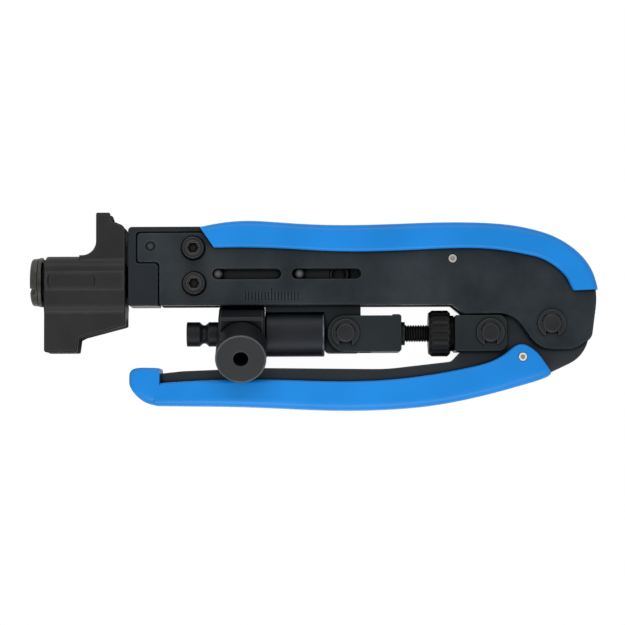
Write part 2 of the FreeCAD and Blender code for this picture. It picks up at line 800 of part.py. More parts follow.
def on_block_rim(edge):
    spot = edge.CenterOfMass
    at_end = min(abs(spot.y - ends[0]), abs(spot.y - ends[1])) < 0.01
    return at_end or abs(spot.z - front_level) < 0.01


bevel(block, "block_edges", done, edges_where(done, on_block_rim), "block_ease")
doc.recompute()
mouth_points = [
    ("swivel_x - tongue_round - mouth_gap", "tongue_round + mouth_gap", "mouth_round"),
    ("swivel_x - tongue_round - mouth_gap", "0 - 2 * block_half"),
    ("swivel_x + 2 * block_half", "0 - 2 * block_half"),
    ("swivel_x + 2 * block_half", "tongue_round + mouth_gap"),
]
mouth = outline(block, "tongue_slot", mouth_points, "XZ_Plane")
pocket(block, mouth, "2 * (tongue_half + tongue_gap)", middle=True)
pin_eye = [("swivel_x", "0", "swivel_pin_radius")]
pocket(block, circles(block, "pin_hole", pin_eye, "XZ_Plane"), "through", middle=True)
swivel_pin = tilted_body("swivel_pin")
pin_round = circles(swivel_pin, "pin_round", pin_eye, "XZ_Plane", "0 - block_top")
pad(swivel_pin, pin_round, "block_top - block_low")

# The long tip: turned steel with a rounded groove, for threaded cable connectors. Its end
# face is the origin and it stands on the block's left side. It is drilled for the cable core.
size("tip_radius", 3.85)
size("tip_land", 4)
size("tip_groove_end", 6.95)
size("tip_groove_radius", 2.87)
size("tip_bore_radius", 0.9)
size("tip_bore_deep", 8)
size("tip_ease", 0.3)
size("groove_ease", 0.2)
size("tip_root", "=swivel_x - block_half")
tip = tilted_body("long_tip")
tip_points = [
    ("0", "0"),
    ("0", "tip_radius", "tip_ease"),
    ("tip_land", "tip_radius", "groove_ease"),
    ("(tip_land + tip_groove_end) / 2", "tip_groove_radius - tip_ease", "tip_radius - tip_groove_radius"),
    ("tip_groove_end", "tip_radius", "groove_ease"),
    ("tip_root", "tip_radius"),
    ("tip_root", "0"),
]
turned(tip, "tip_profile", tip_points)
tip_bore = circles(tip, "tip_bore", [("0", "0", "tip_bore_radius")], "YZ_Plane")
pocket(tip, tip_bore, "tip_bore_deep", back=True)

# The broad tip: a turned steel disc with a centre hole, for push-on connectors. It stands on
# the block's front and faces out of the tool.
size("disc_radius", 7.85)
size("disc_face", 20.2)
size("disc_hole_radius", 2.3)
size("disc_hole_deep", 9)
disc = tilted_body("broad_tip")
disc.setExpression("Placement.Base.x", full("swivel_x"))
disc_side = [
    ("disc_radius - ease", "block_front"),
    ("disc_radius", "block_front + ease"),
    ("disc_radius", "disc_face", "ease"),
    ("disc_hole_radius", "disc_face", "tip_ease"),
    ("disc_hole_radius", "disc_face - disc_hole_deep"),
    ("0", "disc_face - disc_hole_deep"),
    ("0", "block_front"),
]
disc_sketch = outline(disc, "disc_profile", disc_side, "XZ_Plane")
spin = disc.newObject("PartDesign::Revolution", "disc_turn")
spin.Profile = disc_sketch
spin.ReferenceAxis = (disc_sketch, ["V_Axis"])
spin.Angle = 360

# The link: a front clevis on the carriage, a thumb wheel on a screw that sets its length,
# and a rear clevis on the handle.
size("front_ear_reach", 5.56)
size("front_web_length", 8.09)
size("front_clevis_length", 17.34)
size("front_corner", 0.9)
size("front_lip_length", 2.6)
size("front_lip_rise", 0.35)
size("collar_radius", 3.65)
size("collar_length", 1.25)
size("thread_radius", 2.7)
size("thread_gap", 0.04)
size("front_web_x", "=link_front_x + front_web_length")
size("front_clevis_end", "=link_front_x + front_clevis_length")
front_clevis = body("front_clevis")
front_points = [
    ("link_front_x - front_ear_reach", "0 - ear_low_half", "ear_half"),
    ("front_clevis_end", "0 - ear_low_half", "front_corner"),
    ("front_clevis_end", "ear_half + front_lip_rise", "front_corner"),
    ("front_clevis_end - front_lip_length", "ear_half + front_lip_rise"),
    ("front_clevis_end - front_lip_length - front_lip_rise", "ear_half"),
    ("link_front_x - front_ear_reach", "ear_half", "ear_half"),
]
front_sketch = outline(front_clevis, "front_ears", front_points)
pad(front_clevis, front_sketch, "2 * plate_outer", middle=True)
ring = [("0", "0", "collar_radius")]
collar_sketch = circles(front_clevis, "collar", ring, "YZ_Plane", "front_clevis_end")
pad(front_clevis, collar_sketch, "collar_length")
gap = box_points("link_front_x - through", "front_web_x", "0 - through", "through")
pocket(front_clevis, outline(front_clevis, "front_gap", gap), "2 * plate_inner", middle=True)
hole = [("link_front_x", "0", "pin_radius")]
pocket(front_clevis, circles(front_clevis, "front_eye", hole), "through", middle=True)
hole = [("0", "0", "thread_radius + thread_gap")]
thread_sketch = circles(front_clevis, "thread_hole", hole, "YZ_Plane", "front_web_x - 1")
thread_hole = pocket(front_clevis, thread_sketch, "through")
thread_hole.Reversed = True

# The thumb wheel: turned, with straight flutes round its rim, fixed on the adjusting screw.
size("wheel_back", 19)
size("wheel_width", 6.74)
size("wheel_radius", 7.2)
size("wheel_ease", 0.8)
size("wheel_face_ease", 1.1)
size("flute_radius", 0.62)
size("flute_count", 20)
size("flute_proud", 0.2)
size("core_radius", 2)
size("wheel_left", "=link_rear_x - wheel_back")
size("wheel_right", "=wheel_left + wheel_width")
wheel = body("thumb_wheel")
wheel_points = [
    ("wheel_left", "0"),
    ("wheel_left", "wheel_radius - wheel_ease"),
    ("wheel_left + wheel_face_ease", "wheel_radius"),
    ("wheel_right - wheel_ease", "wheel_radius"),
    ("wheel_right", "wheel_radius - wheel_ease"),
    ("wheel_right", "0"),
]
turned(wheel, "wheel_profile", wheel_points)
flute = [("wheel_radius + flute_proud", "0", "flute_radius")]
flute_cut = pocket(wheel, circles(wheel, "flute", flute, "YZ_Plane", "wheel_left - 1"), "through")
flute_cut.Reversed = True
flutes = wheel.newObject("PartDesign::PolarPattern", "flutes")
flutes.Originals = [flute_cut]
flutes.Axis = (flute_cut.Profile[0], ["N_Axis"])
flutes.Angle = 360
flutes.setExpression("Occurrences", full("flute_count"))
wheel.Tip = flutes
core = [("0", "0", "thread_radius")]
core_hole = pocket(wheel, circles(wheel, "core_hole", core, "YZ_Plane", "wheel_left - 1"), "through")
core_hole.Reversed = True

# The adjusting screw: threaded into the front clevis, through the wheel, with a neck that
# turns in the rear clevis and a flared end sunk in its web.
size("screw_back", 1.8)
size("neck_length", 1.2)
size("neck_radius", 5.6)
size("rear_web_thick", 2.7)
size("flare_radius", 3.2)
size("flare_tall", 1.2)
size("screw_start", "=front_web_x + screw_back")
size("rear_web_left", "=wheel_right + neck_length")
size("rear_web_right", "=rear_web_left + rear_web_thick")
adjuster = body("adjusting_screw")
adjuster_points = [
    ("screw_start", "0"),
    ("screw_start", "thread_radius", "ease"),
    ("wheel_right", "thread_radius"),
    ("wheel_right", "neck_radius"),
    ("rear_web_left", "neck_radius"),
    ("rear_web_left", "core_radius"),
    ("rear_web_right - flare_tall", "core_radius"),
    ("rear_web_right", "flare_radius"),
    ("rear_web_right", "0"),
]
turned(adjuster, "adjuster_profile", adjuster_points)

# The rear clevis: two ears on the handle's link pin and a web for the screw's neck.
size("rear_ear_reach", 5.14)
size("rear_ear_radius", 2.6)
size("rear_corner", 0.6)
size("rear_gap_ease", 0.3)
size("rear_gap_slope", 2.5)
size("rear_gap_wall", 0.8)
size("rear_ear_right", "=link_rear_x + rear_ear_reach")
rear_clevis = body("rear_clevis")
rear_points = [
    ("rear_web_left", "0 - ear_low_half", "rear_corner"),
    ("rear_ear_right", "0 - ear_low_half", "rear_ear_radius"),
    ("rear_ear_right", "ear_half", "rear_ear_radius"),
    ("rear_web_left", "ear_half", "rear_corner"),
]
pad(rear_clevis, outline(rear_clevis, "rear_ears", rear_points), "2 * plate_outer", middle=True)
gap = [
    ("rear_web_right", "through"),
    ("rear_web_right", "0 - flare_radius - rear_gap_ease"),
    ("rear_web_left + rear_gap_wall", "0 - flare_radius - rear_gap_ease - rear_gap_slope"),
    ("rear_web_left + rear_gap_wall", "0 - through"),
    ("rear_ear_right + through", "0 - through"),
    ("rear_ear_right + through", "through"),
]
pocket(rear_clevis, outline(rear_clevis, "rear_gap", gap), "2 * plate_inner", middle=True)
hole = [("link_rear_x", "link_rear_y", "pin_radius")]
pocket(rear_clevis, circles(rear_clevis, "rear_eye", hole), "through", middle=True)
sink_points = [
    ("rear_web_left - 1", "0"),
    ("rear_web_left - 1", "core_radius + run_gap"),
    ("rear_web_right - flare_tall", "core_radius + run_gap"),
    ("rear_web_right", "flare_radius + run_gap"),
    ("rear_web_right + 1", "flare_radius + run_gap"),
    ("rear_web_right + 1", "0"),
]
sink_sketch = outline(rear_clevis, "flare_sink", sink_points)
sink = rear_clevis.newObject("PartDesign::Groove", "flare_sink_cut")
sink.Profile = sink_sketch
sink.ReferenceAxis = (sink_sketch, ["H_Axis"])
sink.Angle = 360

# The moving handle: one plate between the frame's plates, round about the handle pin, with a
# long slot for the link's pin, since the drawn chain of bodies is open at that pin.
size("handle_eye_radius", 11.9)
size("handle_lug_back", 5.3)
size("handle_lug_rise", 5.3)
size("handle_lug_radius", 4.5)
size("handle_shoulder", 3.5)
size("handle_run", 60)
size("handle_nose", 13.4)
size("handle_nose_radius", 3)
size("handle_crown_back", 8)
size("handle_crown_radius", 9)
size("slot_back", 1.6)
size("slot_ahead", 2.2)
size("slot_rise", 1.2)
size("slot_drop", 0.2)
handle = body("handle_plate")
handle_points = [
    ("0 - handle_nose", "0 - 12.9", "handle_nose_radius"),
    ("0 - 1", "0 - 11.6", "handle_run / 3"),
    ("23", "0 - 10.7", "handle_run"),
    ("handle_pin_x - 51.43", "0 - 11.2", "handle_run"),
    ("handle_pin_x - 30.93", "0 - 8.9", "handle_nose_radius"),
    ("link_rear_x - handle_lug_back", "0 - 2", "handle_nose_radius"),
    ("link_rear_x - handle_lug_back", "link_rear_y + handle_lug_rise", "handle_lug_radius"),
    ("link_rear_x + handle_shoulder", "link_rear_y + handle_lug_rise", "2 * handle_shoulder"),
    ("handle_pin_x - handle_crown_back", "handle_pin_y + handle_eye_radius", "handle_crown_radius"),
    ("handle_pin_x + handle_eye_radius", "handle_pin_y + handle_eye_radius", "handle_eye_radius - 0.1"),
    ("handle_pin_x + handle_eye_radius", "handle_pin_y - handle_eye_radius + 2.4", "11"),
    ("handle_pin_x - 6", "0 - 15.2", "handle_run / 2"),
    ("handle_pin_x - 41.43", "0 - 20.6", "handle_run"),
    ("40", "0 - 21.6", "handle_run"),
    ("0 - handle_nose", "0 - 19.8", "handle_nose_radius"),
]
pad(handle, outline(handle, "handle_outline", handle_points), "2 * inner_half", middle=True)
hole = [("handle_pin_x", "handle_pin_y", "pin_radius + run_gap")]
pocket(handle, circles(handle, "handle_eye", hole), "through", middle=True)
slot_points = box_points(
    "link_rear_x - pin_radius - slot_back",
    "link_rear_x + pin_radius + slot_ahead",
    "link_rear_y - pin_radius - slot_drop",
    "link_rear_y + pin_radius + slot_rise",
    "pin_radius",
)
pocket(handle, outline(handle, "link_slot", slot_points), "through", middle=True)
size("grip_rivet_back", 9.23)
size("grip_rivet_x", "=handle_pin_x - grip_rivet_back")
size("grip_rivet_y", -7.7)
hole = [("grip_rivet_x", "grip_rivet_y", "rivet_radius")]
pocket(handle, circles(handle, "grip_rivet_hole", hole), "through", middle=True)

doc.recompute()
# The two grips: soft plastic dipped over the metal. Each is drawn through rounded sections
# set square to the grip's run, and the metal it covers is cut out of it.
size("grip_half", 9)
size("grip_outer_round", 3.4)
size("grip_inner_round", 1.2)


def grip_section(x_a, y_a, x_b, y_b, half, out_round, in_round):
    """A rounded section from point a on the grip's outer side to point b on its inner side."""
    run = V(x_b - x_a, y_b - y_a, 0)
    tall = run.Length
    out_round = min(out_round, 0.3 * tall)
    run.normalize()
    start = V(x_a, y_a, 0)
    up = V(0, 0, 1)

    def spot(along, across):
        return start + run * along + up * across

    def corner(along, across, radius, along_sign, across_sign):
        k = radius * (1 - math.sqrt(0.5))
        first = spot(along + along_sign * radius, across)
        middle = spot(along + along_sign * k, across - across_sign * k)
        last = spot(along, across - across_sign * radius)
        return first, middle, last

    a1, a2, a3 = corner(0, half, out_round, 1, 1)
    b1, b2, b3 = corner(0, -half, out_round, 1, -1)
    c1, c2, c3 = corner(tall, -half, in_round, -1, -1)
    d1, d2, d3 = corner(tall, half, in_round, -1, 1)
    edges = [
        Part.Arc(a1, a2, a3).toShape(),
        Part.LineSegment(a3, b3).toShape(),
        Part.Arc(b3, b2, b1).toShape(),
        Part.LineSegment(b1, c1).toShape(),
        Part.Arc(c1, c2, c3).toShape(),
        Part.LineSegment(c3, d3).toShape(),
        Part.Arc(d3, d2, d1).toShape(),
        Part.LineSegment(d1, a1).toShape(),
    ]
    return Part.Wire(edges)


def slab(points, half):
    """The outline of a plate as a slab through the whole width between the grips' sides."""
    wire = points.Shape.Wires[0]
    face = Part.Face(wire)
    face.translate(V(0, 0, -half - face.BoundBox.ZMin))
    return face.extrude(V(0, 0, 2 * half))


def drawn(stations):
    """The grip through its sections. Those near the handle pin keep their place to it."""
    pin_x = num("handle_pin_x")
    wires = []
    for at_pin, x_a, y_a, x_b, y_b, narrow in stations:
        shift = pin_x if at_pin else 0
        half = num("grip_half") - narrow
        rounds = num("grip_outer_round"), num("grip_inner_round")
        wires.append(grip_section(shift + x_a, y_a, shift + x_b, y_b, half, *rounds))
    return Part.makeLoft(wires, True, False)


# Each section: near the handle pin or not, outer point x and y, inner point x and y, and how
# much narrower than the grip it is on each side.
upper_stations = [
    (False, 4.3, 33.1, 8.8, 26.6, 0),
    (False, 14, 34.75, 14.3, 26.65, 0),
    (False, 29.1, 34.45, 29.2, 26.3, 0),
    (False, 45.1, 33.6, 45, 25.4, 0),
    (True, -44.43, 34, -44.73, 25.6, 0),
    (True, -21.43, 34.1, -21.83, 26.1, 0),
    (True, -12.83, 33.4, -14.53, 25.4, 0),
    (True, -5.43, 31.95, -8.03, 24.2, 0),
    (True, 0.27, 30.1, -3.63, 23.1, 0),
    (True, 5.77, 27, 0.17, 21.1, 0),
    (True, 10, 23.2, 3.17, 18.7, 0),
    (True, 12.9, 18.6, 5.27, 15.9, 0),
    (True, 14.4, 13.2, 6.87, 12.9, 0),
]
plate_slab = slab(doc.getObject("front_side_plate_outline"), num("plate_outer"))
head_room = Part.makeBox(num("head_right - head_left"), num("head_top - head_low"),
                         num("2 * plate_outer"))
head_room.translate(V(num("head_left"), num("head_low"), -num("plate_outer")))
upper_shape = drawn(upper_stations).cut(plate_slab).cut(head_room)
solid_node("upper_grip", upper_shape)
nose_stations = [
    (False, -17.5, -15.7, -17.5, -12.7, 1.6),
    (False, -16.8, -17.4, -16.8, -11.4, 0.7),
    (False, -15, -19.6, -15, -10.7, 0.2),
    (False, -12, -21.6, -12, -10.6, 0),
    (False, -8.1, -22.35, -8.1, -10.8, 0),
]
lower_stations = [
    (False, -9.5, -22.3, -9.5, -15.6, 0),
    (False, -4, -22.4, -4, -15.1, 0),
    (False, 8.4, -22.55, 8.3, -14.5, 0),
    (False, 24.6, -23.05, 24.6, -14.4, 0),
    (False, 44.8, -23.95, 44.7, -15, 0),
    (True, -51.83, -23.8, -52.23, -14.7, 0),
    (True, -35.63, -22.4, -36.93, -13, 0),
    (True, -23.43, -20.1, -25.63, -10.9, 0),
    (True, -15.43, -18.15, -18.83, -9, 0),
    (True, -10.23, -16.7, -14.03, -6.3, 0),
    (True, -5.83, -15.45, -10.83, -4, 0),
    (True, -2.43, -14.3, -7.43, -4.3, 0),
    (True, -0.33, -12.3, -3.13, -9.4, 0.8),
]
handle_slab = slab(doc.getObject("handle_outline"), num("inner_half"))
lower_shape = drawn(nose_stations).fuse(drawn(lower_stations))
lower_shape = lower_shape.cut(handle_slab).removeSplitter()
cross_pin("grip_rivet", "grip_rivet_x", "grip_rivet_y", "rivet_radius", "grip_half + rim_ease")
doc.recompute()
lower_shape = lower_shape.cut(doc.getObject("grip_rivet").Shape)
solid_node("lower_grip", lower_shape)

doc.recompute()
for node in nodes:
    bad = "Invalid" in node.State or "Error" in node.State
    if bad or node.Shape.isNull() or not node.Shape.isValid():
        raise SystemExit(f"{node.Label} did not build: {node.State}")
    if len(node.Shape.Solids) != 1:
        print("more than one solid", node.Label, len(node.Shape.Solids))
    node.Shape.exportStep(f"parts/{node.Label}.step")
print("nodes", len(nodes))
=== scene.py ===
import math
import bmesh
import bpy
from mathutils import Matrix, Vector


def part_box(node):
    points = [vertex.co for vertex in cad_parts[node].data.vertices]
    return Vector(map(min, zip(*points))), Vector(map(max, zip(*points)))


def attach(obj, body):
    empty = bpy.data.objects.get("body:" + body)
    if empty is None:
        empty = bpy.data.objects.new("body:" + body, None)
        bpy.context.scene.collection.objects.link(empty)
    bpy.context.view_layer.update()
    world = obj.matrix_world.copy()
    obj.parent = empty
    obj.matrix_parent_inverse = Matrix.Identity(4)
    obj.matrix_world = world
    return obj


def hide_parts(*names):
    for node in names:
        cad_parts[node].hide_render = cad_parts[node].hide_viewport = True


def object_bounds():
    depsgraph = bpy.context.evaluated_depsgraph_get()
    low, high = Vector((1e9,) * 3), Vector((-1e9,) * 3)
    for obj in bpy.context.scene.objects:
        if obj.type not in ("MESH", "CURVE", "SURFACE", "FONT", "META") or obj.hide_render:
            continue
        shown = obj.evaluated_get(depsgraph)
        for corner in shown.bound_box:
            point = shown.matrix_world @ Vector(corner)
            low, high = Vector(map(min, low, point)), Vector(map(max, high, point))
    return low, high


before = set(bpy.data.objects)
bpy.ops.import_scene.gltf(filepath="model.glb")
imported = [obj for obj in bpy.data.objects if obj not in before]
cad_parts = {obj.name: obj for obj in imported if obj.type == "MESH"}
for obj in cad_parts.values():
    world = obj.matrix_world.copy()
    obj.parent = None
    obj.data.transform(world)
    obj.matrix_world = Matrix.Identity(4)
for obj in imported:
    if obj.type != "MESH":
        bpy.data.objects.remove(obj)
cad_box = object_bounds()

# Studio camera: it stands high over the tool, a little towards the moving grip, as where the
# product photograph was taken from. The tool lies on its back.
photo_width_px = 625
metres_per_px = 0.00031
camera_place = Vector((0.03914, -0.03319, 0.707))
camera_target = Vector((0.03929, 0.00634, 0.007))
sight = camera_target - camera_place
view = bpy.data.cameras.new("photo_view")
view.sensor_width = 36
view.lens = view.sensor_width * sight.length / (photo_width_px * metres_per_px)
view.clip_start = 0.01
view.clip_end = 10
camera = bpy.data.objects.new("photo_camera", view)
camera.location = camera_place
camera.rotation_euler = sight.to_track_quat("-Z", "Y").to_euler()
bpy.context.scene.collection.objects.link(camera)
bpy.context.scene.camera = camera
bpy.context.scene.view_settings.view_transform = "Standard"


# Table: a plain sheet that looks white, with a thin contact shadow where the tool rests on
# it. To the light it is a dull grey, so that it throws little back on the tool.
def node_material(name):
    """A new node material, with its node tree and its shader."""
    made = bpy.data.materials.new(name)
    made.use_nodes = True
    tree = made.node_tree
    return made, tree, tree.nodes["Principled BSDF"]


def add_node(tree, kind, inputs, **settings):
    """A node of one kind; each input is a value or the output of another node."""
    made = tree.nodes.new("ShaderNode" + kind)
    for name, value in settings.items():
        setattr(made, name, value)
    for slot, value in inputs.items():
        if isinstance(value, bpy.types.NodeSocket):
            tree.links.new(value, made.inputs[slot])
        else:
            made.inputs[slot].default_value = value
    return made


def arithmetic(tree, operation, *values):
    """The result of one operation on numbers and on outputs of other nodes."""
    return add_node(tree, "Math", dict(enumerate(values)), operation=operation).outputs[0]


def ramp(tree, value, stops):
    """A colour that changes with a value; each stop is a place on the ramp and a colour."""
    made = add_node(tree, "ValToRGB", {"Fac": value})
    elements = made.color_ramp.elements
    while len(elements) < len(stops):
        elements.new(0.5)
    for element, (at, colour) in zip(elements, stops):
        element.position = at
        element.color = (*colour, 1)
    return made.outputs["Color"]


def greys(*stops):
    """Stops for a ramp from grey to grey."""
    return [(at, (level, level, level)) for at, level in stops]


def seen_by_camera(tree):
    """1 where the camera sees the surface, straight or mirrored in metal, 0 for its light."""
    path = add_node(tree, "LightPath", {}).outputs
    mirrored = arithmetic(tree, "MAXIMUM", path["Is Glossy Ray"], path["Is Transmission Ray"])
    return arithmetic(tree, "MAXIMUM", path["Is Camera Ray"], mirrored)


table_paint, tree, shader = node_material("white_table")
shader.inputs["Base Color"].default_value = (0.12, 0.12, 0.12, 1)
shader.inputs["Roughness"].default_value = 0.9
shader.inputs["Specular IOR Level"].default_value = 0.1
contact_reach = 0.012
contact = add_node(tree, "AmbientOcclusion", {"Distance": contact_reach}, samples=24)
contact_shade = ramp(tree, contact.outputs["AO"], greys((0, 0.03), (0.03, 0.5), (0.07, 0.95), (0.4, 1)))
white = add_node(tree, "Emission", {"Color": contact_shade, "Strength": 1})
mix = add_node(tree, "MixShader", {0: seen_by_camera(tree), 1: shader.outputs[0], 2: white.outputs[0]})
tree.links.new(mix.outputs[0], tree.nodes["Material Output"].inputs[0])
bpy.ops.mesh.primitive_plane_add(size=6, location=(0.04, 0, cad_box[0][2]))
table = bpy.context.object
table.name = "table_top"
table.data.materials.append(table_paint)

# Room: white where the camera looks past the table, and a soft even light from all sides.
# The light itself is about half as strong as the white that is seen.
room_light = 0.55
world = bpy.data.worlds.new("studio")
bpy.context.scene.world = world
world.use_nodes = True
tree = world.node_tree
sky = tree.nodes["Background"]
sky.inputs["Color"].default_value = (1, 1, 1, 1)
sky_strength = arithmetic(tree, "MULTIPLY_ADD", seen_by_camera(tree), 1 - room_light, room_light)
tree.links.new(sky_strength, sky.inputs["Strength"])


# Lamps: two long soft boxes, one past each grip, that draw a light line along the round
# parts. The nearer one is the stronger.
def soft_box(name, place, watts):
    """A long soft lamp that is turned towards the middle of the tool."""
    lamp = bpy.data.lights.new(name, "AREA")
    lamp.shape = "RECTANGLE"
    lamp.size = 0.9
    lamp.size_y = 0.3
    lamp.energy = watts
    box = bpy.data.objects.new(name, lamp)
    box.location = place
    aim = Vector((0.04, 0, 0)) - Vector(place)
    box.rotation_euler = aim.to_track_quat("-Z", "Y").to_euler()
    bpy.context.scene.collection.objects.link(box)


soft_box("upper_light", (0.04, 0.7, 0.45), 2.6)
soft_box("lower_light", (0.04, -0.75, 0.4), 4.2)


# Rear side plate and spacer: 3 mm steel, stamped and blackened in a hot oxide bath, which
# leaves it blotchy. Its edges, rolled over by stamping, get a painted highlight inside and
# painted shade outside.
def painted_corner_shade(tree, darkest):
    """Painted shade: 1 on open faces, falling to the darkest level in tight corners and gaps."""
    corner = add_node(tree, "AmbientOcclusion", {"Distance": 0.0016}, samples=8)
    return add_node(tree, "MapRange", {"Value": corner.outputs["AO"], "From Min": 0.4,
                                       "From Max": 0.85, "To Min": darkest}).outputs[0]


def scaled(tree, colour, level):
    """A colour made lighter or darker by a level."""
    return add_node(tree, "VectorMath", {0: colour, "Scale": level}, operation="SCALE").outputs[0]


def metal(name, dark, light, rough, mottle, grain, grain_depth, edge, turned=1, gloss=0.2, edge_rub_and_highlight=None):
    """Blackened metal: blotchy colour, fine grain, painted shade in corners and soft edges.

    Sizes are in metres. turned makes the grain finer along the tool, as a lathe does. The last
    argument, when given, mixes the edges to light grey, partly as real rubbing and partly as a
    painted highlight; without it the edges, rolled over by stamping or tumbling, get a painted
    highlight inside and painted shade outside.
    """
    made, tree, shader = node_material(name)
    place = add_node(tree, "TexCoord", {}).outputs["Object"]
    blotch = add_node(tree, "TexNoise", {"Vector": place, "Scale": 1 / mottle, "Detail": 5,
                                         "Roughness": 0.6}).outputs["Fac"]
    colour = ramp(tree, blotch, [(0.32, dark), (0.72, light)])
    # Painted shade in corners and gaps, on colour and gloss.
    corner_shade = painted_corner_shade(tree, 0.05)
    round_way = add_node(tree, "Bevel", {"Radius": edge}, samples=6).outputs[0]
    flat_way = add_node(tree, "NewGeometry", {}).outputs["Normal"]
    flatness = add_node(tree, "VectorMath", {0: round_way, 1: flat_way},
                        operation="DOT_PRODUCT").outputs["Value"]
    if edge_rub_and_highlight is None:
        # Painted highlight just inside each edge and painted shade at its outer rounding, on colour and
        # gloss.
        edge_highlight_and_shade = ramp(tree, flatness,
                    greys((0.88, 0.1), (0.93, 0.25), (0.96, 1), (0.985, 0.75), (0.998, 0.4)))
        painted_shading = arithmetic(tree, "MULTIPLY", corner_shade, arithmetic(tree, "MULTIPLY", edge_highlight_and_shade, 2.5))
    else:
        # Edges mixed to light grey: partly real rubbed steel, partly a painted highlight.
        rubbed_and_lit = add_node(tree, "MapRange", {"Value": flatness, "From Min": 0.995,
                                             "From Max": 0.88, "To Max": edge_rub_and_highlight}).outputs[0]
        rubbed_and_lit_mix = add_node(tree, "Mix", {0: arithmetic(tree, "MULTIPLY", rubbed_and_lit, corner_shade), 6: colour,
                                      7: (0.2, 0.205, 0.21, 1)}, data_type="RGBA")
        colour = rubbed_and_lit_mix.outputs[2]
        painted_shading = corner_shade
    tree.links.new(scaled(tree, colour, painted_shading), shader.inputs["Base Color"])
    tree.links.new(arithmetic(tree, "MULTIPLY", painted_shading, gloss), shader.inputs["Specular IOR Level"])
    roughness = add_node(tree, "MapRange", {"Value": blotch, "To Min": rough - 0.07,
                                            "To Max": rough + 0.09})
    tree.links.new(roughness.outputs[0], shader.inputs["Roughness"])
    along = add_node(tree, "Mapping", {"Vector": place, "Scale": (turned, 1, 1)}).outputs[0]
    fine = add_node(tree, "TexNoise", {"Vector": along, "Scale": 1 / grain, "Detail": 3})
    bump = add_node(tree, "Bump", {"Strength": 0.5, "Distance": grain_depth,
                                   "Height": fine.outputs["Fac"], "Normal": round_way})
    tree.links.new(bump.outputs[0], shader.inputs["Normal"])
    return made


def dress(material, *names):
    """Gives pieces of the tool their material."""
    for name in names:
        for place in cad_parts[name].material_slots:
            place.material = material


plate_dark = (0.004, 0.009, 0.014)
plate_light = (0.031, 0.038, 0.043)
oxide_steel = metal("black_oxide_plate", plate_dark, plate_light, rough=0.42, mottle=0.022,
                    grain=0.00035, grain_depth=0.00001, edge=0.0008)
dress(oxide_steel, "rear_side_plate", "frame_spacer")


# Front side plate: the same stamped steel as the rear plate. The engraved scale's seventeen
# marks, the middle one longer, get painted shade over them on the outer face.
def object_axes(tree):
    """X, Y and Z of the point on the tool."""
    place = add_node(tree, "TexCoord", {}).outputs["Object"]
    return add_node(tree, "SeparateXYZ", {0: place}).outputs


def regrade(material, level):
    """Makes a metal's colour lighter or darker by the output of another node."""
    tree = material.node_tree
    colour = tree.nodes["Principled BSDF"].inputs["Base Color"]
    tree.links.new(scaled(tree, colour.links[0].from_socket, level), colour)


scale_plate = metal("black_oxide_scale_plate", plate_dark, plate_light, rough=0.42, mottle=0.022,
                    grain=0.00035, grain_depth=0.00001, edge=0.0008)
first_mark_x = 0.01853
mark_step = 0.001017
middle_mark = 8
mark_middle_y = 0.01147
mark_half_height = 0.00135
long_mark_middle_y = 0.01201
long_mark_half_height = 0.00189
mark_half_share = 0.17
outside_z = 0.0066
mark_painted_shade = 0.8
tree = scale_plate.node_tree
axes = object_axes(tree)
from_first = arithmetic(tree, "SUBTRACT", axes["X"], first_mark_x)
count = arithmetic(tree, "DIVIDE", from_first, mark_step)
on_mark = arithmetic(tree, "LESS_THAN", arithmetic(tree, "PINGPONG", count, 0.5), mark_half_share)
in_scale = arithmetic(tree, "COMPARE", count, middle_mark, middle_mark + 0.3)
in_height = arithmetic(tree, "COMPARE", axes["Y"], mark_middle_y, mark_half_height)
in_middle = arithmetic(tree, "COMPARE", count, middle_mark, 0.3)
in_long_height = arithmetic(tree, "COMPARE", axes["Y"], long_mark_middle_y, long_mark_half_height)
short_mark = arithmetic(tree, "MULTIPLY", in_scale, in_height)
long_mark = arithmetic(tree, "MULTIPLY", in_middle, in_long_height)
any_mark = arithmetic(tree, "MULTIPLY", arithmetic(tree, "MAXIMUM", short_mark, long_mark), on_mark)
outside = arithmetic(tree, "GREATER_THAN", axes["Z"], outside_z)
mark = arithmetic(tree, "MULTIPLY", any_mark, outside)
regrade(scale_plate, arithmetic(tree, "SUBTRACT", 1, arithmetic(tree, "MULTIPLY", mark, mark_painted_shade)))
dress(scale_plate, "front_side_plate")

# Head block: one piece of milled steel that the plates' noses sit in. Its oxide is a shade
# bluer and more even than the plates'.
head_steel = metal("black_oxide_block", (0.007, 0.011, 0.015), (0.013, 0.017, 0.021), rough=0.4,
                   mottle=0.03, grain=0.0004, grain_depth=0.000008, edge=0.0007)
dress(head_steel, "head_block")

# Cap screws: two socket screws of black alloy steel that hold both plates to the head block.
# Their rims and the sockets' corners are lighter, partly rubbed by the key and partly a painted
# highlight.
cap_steel = metal("cap_screw_steel", (0.008, 0.008, 0.008), (0.017, 0.0165, 0.016), rough=0.38,
                  mottle=0.004, grain=0.0003, grain_depth=0.000008, edge=0.0006, edge_rub_and_highlight=0.5)
dress(cap_steel, "upper_plate_screw", "lower_plate_screw")


